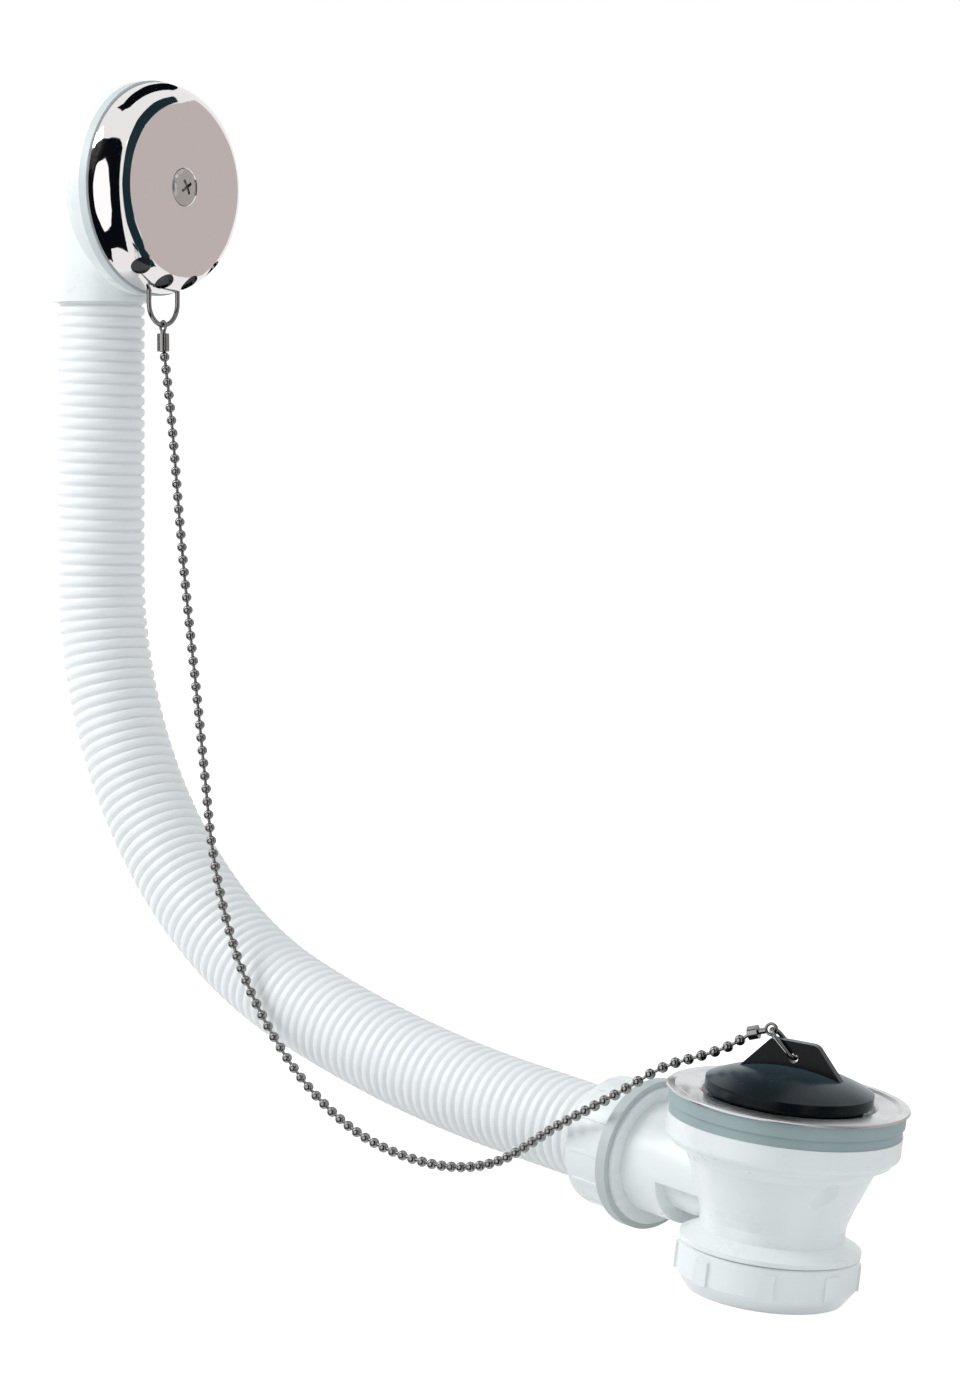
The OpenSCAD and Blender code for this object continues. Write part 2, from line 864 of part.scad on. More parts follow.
module outlet_nut() {
    rib_width = 5;
    rib_bottom = outlet_nut_bottom + 4.4;
    rib_top = outlet_nut_top - 2;
    color("white")
        difference() {
            union() {
                rotate_extrude($fn = 96)
                    polygon([
                        [20, outlet_nut_bottom], [outlet_nut_radius - 3.4, outlet_nut_bottom],
                        [outlet_nut_radius, outlet_nut_bottom + 4.6],
                        [outlet_nut_radius, outlet_nut_top - 0.5],
                        [outlet_nut_radius - 0.5, outlet_nut_top], [20, outlet_nut_top]
                    ]);
                for (i = [0:outlet_nut_ribs - 1])
                    rotate([0, 0, 360 / outlet_nut_ribs * (i - 0.1)])
                        translate([outlet_nut_radius - 1.4, -rib_width / 2, rib_bottom])
                            cube([2, rib_width, rib_top - rib_bottom]);
            }
            translate([0, 0, outlet_nut_bottom - 1])
                cylinder(r = pipe_bore + 0.3, h = 30);
            translate([0, 0, outlet_nut_bottom + outlet_nut_lip])
                cylinder(r = thread_radius + 0.2, h = 30);
        }
}

module outlet_seal() {
    height = tail_end - seal_bottom;
    color("dimgray")
        translate([0, 0, seal_bottom])
            difference() {
                cylinder(r1 = thread_radius, r2 = thread_radius - 0.6, h = height);
                translate([0, 0, -1])
                    cylinder(r = pipe_bore, h = height + 2);
            }
}

module outlet_slip_ring() {
    color("white")
        ring(thread_radius, pipe_bore + 0.6, slip_ring_bottom, seal_bottom);
}

module side_nut() {
    color("white")
        along_branch()
            difference() {
                union() {
                    translate([0, 0, side_nut_end])
                        cylinder(r = side_nut_radius, h = collar_back - side_nut_end);
                    for (i = [0:11])
                        rotate([0, 0, 30 * i])
                            translate([side_nut_radius - 0.6, -0.8, side_nut_end + 2])
                                cube([1, 1.6, collar_back - side_nut_end - 4]);
                }
                translate([0, 0, side_nut_end - 1])
                    cylinder(r = cuff_radius + 0.3, h = 30);
                translate([0, 0, side_nut_end + side_nut_lip])
                    cylinder(r = side_nut_bore, h = 30);
            }
}

module side_collar() {
    color("slategray")
        along_branch()
            ring(collar_radius, side_nut_bore, collar_back, collar_front);
}

module side_seal() {
    base = side_nut_end + side_nut_lip;
    color("dimgray")
        along_branch()
            ring(branch_radius - 0.2, cuff_radius + 0.05, base, branch_mouth);
}

overflow_faceplate();
overflow_screw();
overflow_gasket();
overflow_elbow();
overflow_insert();
hose();
chain_stirrup();
upper_coupling();
bead_chain();
lower_coupling();
plug_link();
plug();
strainer_flange();
waste_screw();
waste_insert();
upper_gasket();
lower_gasket();
waste_body();
outlet_nut();
outlet_seal();
outlet_slip_ring();
side_nut();
side_collar();
side_seal();
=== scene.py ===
"""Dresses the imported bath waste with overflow: its finishes, a hose with rounded
corrugations, the studio round it and the camera.

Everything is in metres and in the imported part's own frame: the origin is on the
waste's axis between the two flange gaskets, +Z is up out of the bath's floor, and
+X runs from the overflow head to the waste.
"""

from __future__ import annotations

import logging
import math
from dataclasses import dataclass, field
from enum import Enum
from typing import Union

import bpy
from mathutils import Matrix, Vector


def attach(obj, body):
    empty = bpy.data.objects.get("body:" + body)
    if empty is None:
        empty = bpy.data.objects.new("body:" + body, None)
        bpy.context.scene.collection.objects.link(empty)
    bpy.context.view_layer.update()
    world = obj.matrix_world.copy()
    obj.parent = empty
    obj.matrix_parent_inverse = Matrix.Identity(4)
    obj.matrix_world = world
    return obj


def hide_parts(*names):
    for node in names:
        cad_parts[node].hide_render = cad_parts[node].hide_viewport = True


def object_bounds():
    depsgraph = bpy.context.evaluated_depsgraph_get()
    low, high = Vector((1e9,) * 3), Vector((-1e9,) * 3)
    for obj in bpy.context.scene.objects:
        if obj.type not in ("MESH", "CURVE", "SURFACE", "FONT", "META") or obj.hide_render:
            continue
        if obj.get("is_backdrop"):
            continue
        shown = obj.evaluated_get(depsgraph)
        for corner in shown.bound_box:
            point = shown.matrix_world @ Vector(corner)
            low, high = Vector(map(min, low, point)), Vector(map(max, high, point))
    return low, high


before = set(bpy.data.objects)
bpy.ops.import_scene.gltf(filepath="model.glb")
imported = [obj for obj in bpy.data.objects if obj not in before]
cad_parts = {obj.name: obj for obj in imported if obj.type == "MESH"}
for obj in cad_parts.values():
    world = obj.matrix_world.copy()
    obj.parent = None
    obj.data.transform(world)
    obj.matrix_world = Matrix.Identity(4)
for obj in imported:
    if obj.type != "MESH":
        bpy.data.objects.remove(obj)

LOG = logging.getLogger("bath_waste")
MM = 0.001

Colour = tuple[float, float, float]
Direction = tuple[float, float]
Span = tuple[float, float]
Socket = bpy.types.NodeSocket
SocketValue = Union[bpy.types.NodeSocket, float, tuple]

FULL: Span = (0.0, 1.0)
WHITE: Colour = (1.0, 1.0, 1.0)


class Maths(Enum):
    """What a Math node does with its two values."""

    TIMES = "MULTIPLY"
    PLUS = "ADD"
    MINUS = "SUBTRACT"
    LARGER = "MAXIMUM"


class Gloss(Enum):
    """How a surface was worked, as its roughness."""

    MIRROR = 0.045
    BRIGHT = 0.13
    SATIN = 0.24
    SEMI = 0.3
    SOFT = 0.42
    DULL = 0.6


class Wiring:
    """A node tree with short calls that add nodes and join their sockets."""

    def __init__(self, tree: bpy.types.NodeTree) -> None:
        """Starts on an empty tree, of a material, a world or a group."""
        self.tree = tree
        tree.nodes.clear()

    def feed(self, socket: Socket, value: SocketValue) -> None:
        """Joins a socket to another one, or sets its own value.

        Args:
            socket: the input to feed.
            value: an output socket, a number or a colour.
        """
        if isinstance(value, bpy.types.NodeSocket):
            self.tree.links.new(value, socket)
        else:
            socket.default_value = value

    def add(self, kind: str, values: dict | None = None, **settings) -> bpy.types.Node:
        """Adds one node.

        Args:
            kind: the node's Blender type.
            values: what feeds each input, by the input's name or place.
            **settings: the node's own options.

        Returns:
            The new node.
        """
        node = self.tree.nodes.new(kind)
        for option, value in settings.items():
            setattr(node, option, value)
        for key, value in (values or {}).items():
            self.feed(node.inputs[key], value)
        return node

    def maths(self, first: SocketValue, how: Maths, second: SocketValue) -> Socket:
        """Returns the output socket of a Math node on two values."""
        return self.add("ShaderNodeMath", {0: first, 1: second}, operation=how.value).outputs[0]

    def ranged(
        self, value: SocketValue, source: Span, target: Span, smooth: bool = False
    ) -> Socket:
        """Maps a value from one range to another, clamped.

        Args:
            value: the value to map.
            source: its lowest and highest value.
            target: what those become.
            smooth: whether the ends of the range are eased.

        Returns:
            The mapped output socket.
        """
        node = self.add(
            "ShaderNodeMapRange",
            {1: source[0], 2: source[1], 3: target[0], 4: target[1], 0: value},
            interpolation_type="SMOOTHSTEP" if smooth else "LINEAR",
        )
        return node.outputs[0]

    def tinted(self, mask: SocketValue, low: SocketValue, high: SocketValue) -> Socket:
        """Mixes two colours by a mask.

        Args:
            mask: 0 for the first colour and 1 for the second.
            low: the first colour, or its socket.
            high: the second colour, or its socket.

        Returns:
            The output socket of the mixed colour.
        """
        node = self.add("ShaderNodeMix", data_type="RGBA")
        self.feed(node.inputs["Factor"], mask)
        for name, value in (("A", low), ("B", high)):
            socket = next(s for s in node.inputs if s.name == name and s.type == "RGBA")
            self.feed(socket, value if isinstance(value, bpy.types.NodeSocket) else (*value, 1.0))
        return next(s for s in node.outputs if s.type == "RGBA")

    def noise(
        self, scale: SocketValue, detail: float, roughness: float = 0.5,
        place: Socket | None = None,
    ) -> Socket:
        """Adds a noise over the object.

        Args:
            scale: how fine the noise is.
            detail: how many finer noises lie on it.
            roughness: how strong those are.
            place: where the noise is read, or nothing for the object's own coordinates.

        Returns:
            The output socket of the noise's value.
        """
        if place is None:
            place = self.add("ShaderNodeTexCoord").outputs["Object"]
        values = {"Vector": place, "Scale": scale, "Detail": detail, "Roughness": roughness}
        return self.add("ShaderNodeTexNoise", values).outputs[0]

    def close(self, surface: Socket, kind: str = "ShaderNodeOutputMaterial") -> None:
        """Joins the last shader to the tree's output."""
        self.add(kind, {"Surface": surface})


def new_material(name: str) -> tuple[bpy.types.Material, Wiring]:
    """Makes a material with an empty node tree.

    Args:
        name: the material's name.

    Returns:
        The material and the wiring of its tree.
    """
    material = bpy.data.materials.new(name)
    material.use_nodes = True
    return material, Wiring(material.node_tree)


def stand(name: str, data: bpy.types.ID) -> bpy.types.Object:
    """Makes an object and links it to the scene.

    Args:
        name: the object's name.
        data: its mesh, lamp or camera.

    Returns:
        The new object.
    """
    made = bpy.data.objects.new(name, data)
    bpy.context.scene.collection.objects.link(made)
    return made


def mesh_piece(
    name: str, points: list, faces: list, material: bpy.types.Material, smooth: bool = False
) -> bpy.types.Object:
    """Makes a mesh object with one material.

    Args:
        name: the piece's name.
        points: its corners.
        faces: its faces, as tuples of corner numbers.
        material: the material that all its faces take.
        smooth: whether it is shaded as a curved surface.

    Returns:
        The new object, linked to the scene.
    """
    mesh = bpy.data.meshes.new(name)
    mesh.from_pydata([tuple(point) for point in points], [], faces)
    if smooth:
        mesh.validate()
        mesh.shade_smooth()
    mesh.materials.append(material)
    LOG.info("%s: %d faces", name, len(mesh.polygons))
    return stand(name, mesh)


@dataclass(frozen=True)
class EffectGroup:
    """A shader node group that several finishes share.

    Attributes:
        name: the group's name in the file.
        inputs: the name and usual value of each number that it takes.
        outputs: the name of each value that it puts out.
    """

    name: str
    inputs: dict[str, float]
    outputs: tuple[str, ...]

    def wires(self, wiring: Wiring, given: bpy.types.Node) -> dict[str, Socket]:
        """Builds the inside of the group; each effect has its own."""
        raise NotImplementedError

    def tree(self) -> bpy.types.NodeTree:
        """Makes the group's tree at its first use.

        Returns:
            The tree, the same one at each use.
        """
        found = bpy.data.node_groups.get(self.name)
        if found is not None:
            return found
        made = bpy.data.node_groups.new(self.name, "ShaderNodeTree")
        for name, value in self.inputs.items():
            socket = made.interface.new_socket(name, in_out="INPUT", socket_type="NodeSocketFloat")
            socket.default_value = value
        for name in self.outputs:
            made.interface.new_socket(name, in_out="OUTPUT", socket_type="NodeSocketFloat")
        wiring = Wiring(made)
        given = wiring.add("NodeGroupInput")
        put_out = wiring.add("NodeGroupOutput")
        for name, socket in self.wires(wiring, given).items():
            wiring.feed(put_out.inputs[name], socket)
        return made

    def place(self, wiring: Wiring, **values: float) -> bpy.types.Node:
        """Places the group in a material.

        Args:
            wiring: the material's wiring.
            **values: the group's own inputs for this material.

        Returns:
            The group node.
        """
        node = wiring.add("ShaderNodeGroup", node_tree=self.tree())
        for name, value in values.items():
            node.inputs[name.capitalize()].default_value = value
        return node


@dataclass(frozen=True)
class MouldedSkin(EffectGroup):
    """The faint ripple and the uneven gloss of a moulded surface."""

    name: str = "moulded skin"
    inputs: dict[str, float] = field(default_factory=lambda: {"Scale": 900.0, "Patches": 60.0})
    outputs: tuple[str, ...] = ("Height", "Patch")
    ripple_detail: float = 3.0
    ripple_roughness: float = 0.55
    patch_detail: float = 2.0

    def wires(self, wiring: Wiring, given: bpy.types.Node) -> dict[str, Socket]:
        """Builds a fine ripple for the height and a broad one for the gloss.

        Args:
            wiring: the group's wiring.
            given: the node of the group's inputs.

        Returns:
            The socket of each output, by its name.
        """
        return {
            "Height": wiring.noise(
                given.outputs["Scale"], self.ripple_detail, self.ripple_roughness
            ),
            "Patch": wiring.noise(given.outputs["Patches"], self.patch_detail),
        }


@dataclass(frozen=True)
class HairlineMarks(EffectGroup):
    """Fine scratches from wiping and polishing, in two crossing directions."""

    name: str = "hairline marks"
    inputs: dict[str, float] = field(default_factory=lambda: {"Scale": 700.0, "Share": 0.3})
    outputs: tuple[str, ...] = ("Height", "Mask")
    turns_and_stretches: tuple = ((0.5, (1.0, 0.05, 1.0)), (2.1, (0.06, 1.0, 0.7)))
    lean: float = 0.7
    detail: float = 2.0
    crests: Span = (0.62, 0.78)

    def wires(self, wiring: Wiring, given: bpy.types.Node) -> dict[str, Socket]:
        """Stretches two noises into lines and keeps only their crests.

        Args:
            wiring: the group's wiring.
            given: the node of the group's inputs.

        Returns:
            The socket of each output, by its name.
        """
        place = wiring.add("ShaderNodeTexCoord").outputs["Object"]
        lines = []
        for turn, stretch in self.turns_and_stretches:
            rotation = (turn, turn * self.lean, turn)
            turned = wiring.add(
                "ShaderNodeMapping", {"Vector": place, "Rotation": rotation, "Scale": stretch}
            )
            noise = wiring.noise(given.outputs["Scale"], self.detail, place=turned.outputs[0])
            lines.append(wiring.ranged(noise, self.crests, FULL))
        both = wiring.maths(lines[0], Maths.LARGER, lines[1])
        mask = wiring.maths(both, Maths.TIMES, given.outputs["Share"])
        return {"Height": both, "Mask": mask}


@dataclass(frozen=True)
class SettledDust(EffectGroup):
    """Dust and water marks that lie on faces that look up."""

    name: str = "settled dust"
    inputs: dict[str, float] = field(default_factory=lambda: {"Amount": 0.1, "Scale": 140.0})
    outputs: tuple[str, ...] = ("Mask",)
    facing_up: Span = (0.15, 1.0)
    share_lying: Span = (0.25, 1.0)
    detail: float = 5.0
    roughness: float = 0.65
    clumps: Span = (0.42, 0.72)

    def wires(self, wiring: Wiring, given: bpy.types.Node) -> dict[str, Socket]:
        """Multiplies an upward mask by a broken-up noise.

        Args:
            wiring: the group's wiring.
            given: the node of the group's inputs.

        Returns:
            The socket of each output, by its name.
        """
        normal = wiring.add("ShaderNodeNewGeometry").outputs["Normal"]
        upward = wiring.add("ShaderNodeSeparateXYZ", {0: normal}).outputs["Z"]
        lying = wiring.ranged(upward, self.facing_up, self.share_lying, smooth=True)
        noise = wiring.noise(given.outputs["Scale"], self.detail, self.roughness)
        broken = wiring.ranged(noise, self.clumps, FULL, smooth=True)
        dust = wiring.maths(lying, Maths.TIMES, broken)
        return {"Mask": wiring.maths(dust, Maths.TIMES, given.outputs["Amount"])}


@dataclass(frozen=True)
class RubbedEdges(EffectGroup):
    """A mask of the outer edges, where handling rubs a surface first."""

    name: str = "rubbed edges"
    inputs: dict[str, float] = field(default_factory=lambda: {"Amount": 0.4, "Scale": 260.0})
    outputs: tuple[str, ...] = ("Mask",)
    edge_range: Span = (0.6, 0.75)
    detail: float = 3.0
    clumps: Span = (0.35, 0.65)
    share_rubbed: Span = (0.2, 1.0)

    def wires(self, wiring: Wiring, given: bpy.types.Node) -> dict[str, Socket]:
        """Breaks the mesh's own convex edges up with a noise.

        Args:
            wiring: the group's wiring.
            given: the node of the group's inputs.

        Returns:
            The socket of each output, by its name.
        """
        edge = wiring.add("ShaderNodeNewGeometry").outputs["Pointiness"]
        convex = wiring.ranged(edge, self.edge_range, FULL, smooth=True)
        noise = wiring.noise(given.outputs["Scale"], self.detail)
        broken = wiring.ranged(noise, self.clumps, self.share_rubbed)
        rubbed = wiring.maths(convex, Maths.TIMES, broken)
        return {"Mask": wiring.maths(rubbed, Maths.TIMES, given.outputs["Amount"])}


@dataclass(frozen=True)
class Finish:
    """What every finish states about itself.

    Attributes:
        name: the material's name.
        colour: its linear base colour.
        gloss: how it was worked.
        dust: how much dust lies on it.
        patch_range: the part of the skin's noise that changes its gloss.
    """

    name: str
    colour: Colour
    gloss: Gloss
    dust: float = 0.1
    patch_range: Span = (0.3, 0.7)

    def shade(self, wiring: Wiring, shader: bpy.types.Node) -> None:
        """Feeds the finish's own shader; each kind of finish has its own."""
        raise NotImplementedError

    def material(self) -> bpy.types.Material:
        """Makes the finish's material at its first use.

        Returns:
            The material, the same one at each use.
        """
        found = bpy.data.materials.get(self.name)
        if found is not None:
            return found
        made, wiring = new_material(self.name)
        made.diffuse_color = (*self.colour, 1.0)
        shader = wiring.add("ShaderNodeBsdfPrincipled")
        wiring.close(shader.outputs[0])
        self.shade(wiring, shader)
        return made

    def bumped(self, wiring: Wiring, height: Socket, depth: float) -> Socket:
        """Returns the normal of a bump that is depth metres deep."""
        values = {"Height": height, "Strength": 1.0, "Distance": depth}
        return wiring.add("ShaderNodeBump", values).outputs[0]

    def uneven_gloss(self, wiring: Wiring, patch: Socket, spread: Span) -> Socket:
        """Returns a roughness that varies between two shares of the finish's own."""
        target = (self.gloss.value * spread[0], self.gloss.value * spread[1])
        return wiring.ranged(patch, self.patch_range, target)


@dataclass(frozen=True)
class MouldedPlastic(Finish):
    """Moulded plastic: a faint ripple, uneven gloss, light dust and a soft glow."""

    glow: float = 0.12
    glow_radius: Colour = (1.0, 0.95, 0.9)
    glow_depth: float = 2.5 * MM
    ripple: float = 0.02 * MM
    shade_tint: float = 0.975
    gloss_spread: Span = (0.85, 1.2)
    dust_colour: Colour = (0.62, 0.6, 0.56)
    edge_polish: float = 0.2
    refraction: float = 1.49

    def shade(self, wiring: Wiring, shader: bpy.types.Node) -> None:
        """Feeds the shader of a moulded plastic.

        Args:
            wiring: the material's wiring.
            shader: the material's shader.
        """
        skin = MouldedSkin().place(wiring, scale=900.0, patches=70.0)
        dust = SettledDust().place(wiring, amount=self.dust, scale=160.0)
        rubbed = RubbedEdges().place(wiring, amount=0.12, scale=300.0)
        darker = tuple(part * self.shade_tint for part in self.colour)
        patch = wiring.ranged(skin.outputs["Patch"], self.patch_range, FULL)
        body = wiring.tinted(patch, darker, self.colour)
        dusted = wiring.tinted(dust.outputs["Mask"], body, self.dust_colour)
        uneven = self.uneven_gloss(wiring, skin.outputs["Patch"], self.gloss_spread)
        duller = wiring.maths(uneven, Maths.PLUS, dust.outputs["Mask"])
        polished = wiring.maths(rubbed.outputs["Mask"], Maths.TIMES, self.edge_polish)
        roughness = wiring.maths(duller, Maths.MINUS, polished)
        normal = self.bumped(wiring, skin.outputs["Height"], self.ripple)
        wiring.feed(shader.inputs["Base Color"], dusted)
        wiring.feed(shader.inputs["Roughness"], roughness)
        wiring.feed(shader.inputs["Normal"], normal)
        shader.inputs["IOR"].default_value = self.refraction
        shader.inputs["Subsurface Weight"].default_value = self.glow
        shader.inputs["Subsurface Radius"].default_value = self.glow_radius
        shader.inputs["Subsurface Scale"].default_value = self.glow_depth


@dataclass(frozen=True)
class BareMetal(Finish):
    """Plated, pressed or drawn metal with fine scratches and smudges."""

    scratches: float = 0.3
    scratch_depth: float = 0.002 * MM
    scratch_dulling: float = 0.12
    smudge: Colour = (0.5, 0.48, 0.45)
    smudge_range: Span = (0.45, 0.75)
    smudge_times: float = 1.7
    smudge_more: float = 0.01

    def shade(self, wiring: Wiring, shader: bpy.types.Node) -> None:
        """Feeds the shader of a metal.

        Args:
            wiring: the material's wiring.
            shader: the material's shader.
        """
        marks = HairlineMarks().place(wiring, scale=620.0, share=self.scratches)
        dust = SettledDust().place(wiring, amount=self.dust, scale=120.0)
        skin = MouldedSkin().place(wiring, scale=300.0, patches=45.0)
        base = self.gloss.value
        dulled = (base, base * self.smudge_times + self.smudge_more)
        smudged = wiring.ranged(skin.outputs["Patch"], self.smudge_range, dulled)
        scratched = wiring.maths(marks.outputs["Mask"], Maths.TIMES, self.scratch_dulling)
        scored = wiring.maths(scratched, Maths.PLUS, smudged)
        colour = wiring.tinted(dust.outputs["Mask"], self.colour, self.smudge)
        roughness = wiring.maths(scored, Maths.PLUS, dust.outputs["Mask"])
        normal = self.bumped(wiring, marks.outputs["Height"], self.scratch_depth)
        wiring.feed(shader.inputs["Base Color"], colour)
        wiring.feed(shader.inputs["Roughness"], roughness)
        wiring.feed(shader.inputs["Normal"], normal)
        shader.inputs["Metallic"].default_value = 1.0


@dataclass(frozen=True)
class Rubber(Finish):
    """Moulded rubber: a fine grain, rubbed edges and a bloom of dust."""

    bloom: Colour = (0.3, 0.33, 0.34)
    bloom_share: float = 0.2
    grain: float = 0.012 * MM
    gloss_spread: Span = (0.85, 1.15)
    shine: float = 0.5
    sheen: float = 0.0
    sheen_tint: Colour = (0.4, 0.72, 0.85)
    sheen_roughness: float = 0.4
    refraction: float = 1.52

    def shade(self, wiring: Wiring, shader: bpy.types.Node) -> None:
        """Feeds the shader of a rubber.

        Args:
            wiring: the material's wiring.
            shader: the material's shader.
        """
        skin = MouldedSkin().place(wiring, scale=1500.0, patches=110.0)
        dust = SettledDust().place(wiring, amount=self.dust, scale=180.0)
        rubbed = RubbedEdges().place(wiring, amount=0.3, scale=340.0)
        uneven = self.uneven_gloss(wiring, skin.outputs["Patch"], self.gloss_spread)
        duller = wiring.maths(uneven, Maths.PLUS, dust.outputs["Mask"])
        lifted = wiring.maths(dust.outputs["Mask"], Maths.LARGER, rubbed.outputs["Mask"])
        share = wiring.maths(lifted, Maths.TIMES, self.bloom_share)
        normal = self.bumped(wiring, skin.outputs["Height"], self.grain)
        wiring.feed(shader.inputs["Base Color"], wiring.tinted(share, self.colour, self.bloom))
        wiring.feed(shader.inputs["Roughness"], duller)
        wiring.feed(shader.inputs["Normal"], normal)
        shader.inputs["IOR"].default_value = self.refraction
        shader.inputs["Specular IOR Level"].default_value = self.shine
        shader.inputs["Sheen Weight"].default_value = self.sheen
        shader.inputs["Sheen Roughness"].default_value = self.sheen_roughness
        shader.inputs["Sheen Tint"].default_value = (*self.sheen_tint, 1.0)


WHITE_FITTING = MouldedPlastic(
    "white fitting plastic", (0.88, 0.915, 0.915), Gloss.SEMI, dust=0.015
)
WHITE_HOSE = MouldedPlastic(
    "white hose plastic", (0.89, 0.91, 0.915), Gloss.SOFT, dust=0.02, glow=0.2
)
CHROME = BareMetal(
    "polished chrome plate", (0.8, 0.78, 0.775), Gloss.MIRROR, dust=0.015, scratches=0.06
)
SCREW_METAL = BareMetal("bright screw metal", (0.55, 0.57, 0.55), Gloss.BRIGHT, dust=0.05)
STEEL = BareMetal(
    "pressed stainless steel", (0.66, 0.68, 0.69), Gloss.SATIN, dust=0.06, scratches=0.5
)
CHAIN_METAL = BareMetal("plated chain metal", (0.3, 0.3, 0.295), Gloss.BRIGHT, dust=0.03)
BRASS = BareMetal("turned brass", (0.78, 0.58, 0.28), Gloss.SATIN, dust=0.05)
GREY_GASKET = Rubber("grey gasket rubber", (0.33, 0.42, 0.43), Gloss.SOFT)
PALE_GASKET = Rubber(
    "pale gasket rubber", (0.62, 0.67, 0.68), Gloss.SOFT, dust=0.15, bloom=(0.6, 0.62, 0.62)
)
COLLAR_RUBBER = Rubber("side collar rubber", (0.54, 0.59, 0.59), Gloss.SOFT, dust=0.06)
BLACK_PLUG = Rubber(
    "black plug rubber", (0.0025, 0.0035, 0.0045), Gloss.SATIN,
    dust=0.03, bloom=(0.008, 0.014, 0.018), shine=0.16, sheen=0.3,
)
BLACK_SEAL = Rubber("black seal rubber", (0.02, 0.02, 0.022), Gloss.DULL, bloom=(0.1, 0.1, 0.1))


@dataclass
class DressedPieces:
    """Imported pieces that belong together.

    Attributes:
        finishes: the finish that each node takes on all its faces.
    """

    finishes: dict[str, Finish]

    def build(self) -> None:
        """Puts its finish on each node."""
        for node, finish in self.finishes.items():
            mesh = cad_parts[node].data
            mesh.materials.clear()
            mesh.materials.append(finish.material())
            LOG.info("%s takes %s", node, finish.name)


@dataclass
class OverflowHead(DressedPieces):
    """The chrome faceplate, its screw and gasket, and the elbow behind the wall."""

    finishes: dict[str, Finish] = field(default_factory=lambda: {
        "overflow_faceplate": CHROME,
        "overflow_screw": SCREW_METAL,
        "overflow_gasket": PALE_GASKET,
        "overflow_elbow": WHITE_FITTING,
        "overflow_insert": BRASS,
        "chain_stirrup": CHAIN_METAL,
    })


@dataclass
class PlugAndChain(DressedPieces):
    """The rubber plug, its wire link and the ball chain with its couplings."""

    finishes: dict[str, Finish] = field(default_factory=lambda: {
        "upper_coupling": CHAIN_METAL,
        "bead_chain": CHAIN_METAL,
        "lower_coupling": CHAIN_METAL,
        "plug_link": CHAIN_METAL,
        "plug": BLACK_PLUG,
    })


@dataclass
class WasteFitting(DressedPieces):
    """The steel flange, its gaskets, the body and the nuts under the bath."""

    finishes: dict[str, Finish] = field(default_factory=lambda: {
        "strainer_flange": STEEL,
        "waste_screw": SCREW_METAL,
        "waste_insert": BRASS,
        "upper_gasket": GREY_GASKET,
        "lower_gasket": GREY_GASKET,
        "waste_body": WHITE_FITTING,
        "outlet_nut": WHITE_FITTING,
        "outlet_seal": BLACK_SEAL,
        "outlet_slip_ring": WHITE_FITTING,
        "side_nut": WHITE_FITTING,
        "side_collar": COLLAR_RUBBER,
        "side_seal": BLACK_SEAL,
    })


@dataclass
class HoseRoute:
    """The hose's centre line: a straight drop, a bend, a long sweep and a run-in.

    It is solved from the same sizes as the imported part's hose, in the XZ plane.
    """

    reach: float = 312.0 * MM
    rise: float = 226.5 * MM
    wall_lean: float = math.radians(9.0)
    setback: float = 23.4 * MM
    sweep_radius: float = 500.0 * MM
    sweep_slope: float = math.radians(11.5)
    run_in: float = 37.0 * MM
    side_nut_end: float = -66.0 * MM
    branch_axis: float = -24.6 * MM

    def __post_init__(self) -> None:
        """Solves the drop's length and the bend's radius."""
        self.start = Vector((
            -self.reach - self.setback * math.cos(self.wall_lean),
            self.rise - self.setback * math.sin(self.wall_lean),
        ))
        self.start_heading = self.wall_lean - math.pi / 2
        meet = -self.sweep_slope
        meet_point = Vector((
            self.side_nut_end - self.run_in - self.sweep_radius * -math.sin(meet),
            self.branch_axis - self.sweep_radius * (math.cos(meet) - 1.0),
        ))
        way = Vector((math.cos(self.start_heading), math.sin(self.start_heading)))
        bend = Vector((
            math.sin(meet) - math.sin(self.start_heading),
            math.cos(self.start_heading) - math.cos(meet),
        ))
        gap = meet_point - self.start
        turn = way.x * bend.y - way.y * bend.x
        self.drop = (gap.x * bend.y - gap.y * bend.x) / turn
        self.bend_radius = (way.x * gap.y - way.y * gap.x) / turn
        self.bend_angle = meet - self.start_heading

    def spans(self) -> list[tuple[float, float]]:
        """Returns each span's length and its turn, from the overflow down."""
        return [
            (self.drop, 0.0),
            (self.bend_radius * self.bend_angle, self.bend_angle),
            (self.sweep_radius * self.sweep_slope, self.sweep_slope),
            (self.run_in, 0.0),
        ]

    def at(self, along: float) -> tuple[Vector, float]:
        """Finds a point on the route.

        Args:
            along: the distance from the overflow's end, along the hose.

        Returns:
            The point in the XZ plane and the route's heading there.
        """
        point, heading, left = self.start.copy(), self.start_heading, along
        spans = self.spans()
        for number, (length, turn) in enumerate(spans, start=1):
            step = left if number == len(spans) else min(left, length)
            if turn:
                radius, swept = length / turn, turn * step / length
                point += radius * Vector((
                    math.sin(heading + swept) - math.sin(heading),
                    math.cos(heading) - math.cos(heading + swept),
                ))
                heading += swept
            else:
                point += step * Vector((math.cos(heading), math.sin(heading)))
            left -= step
            if left <= 0.0:
                break
        return point, heading


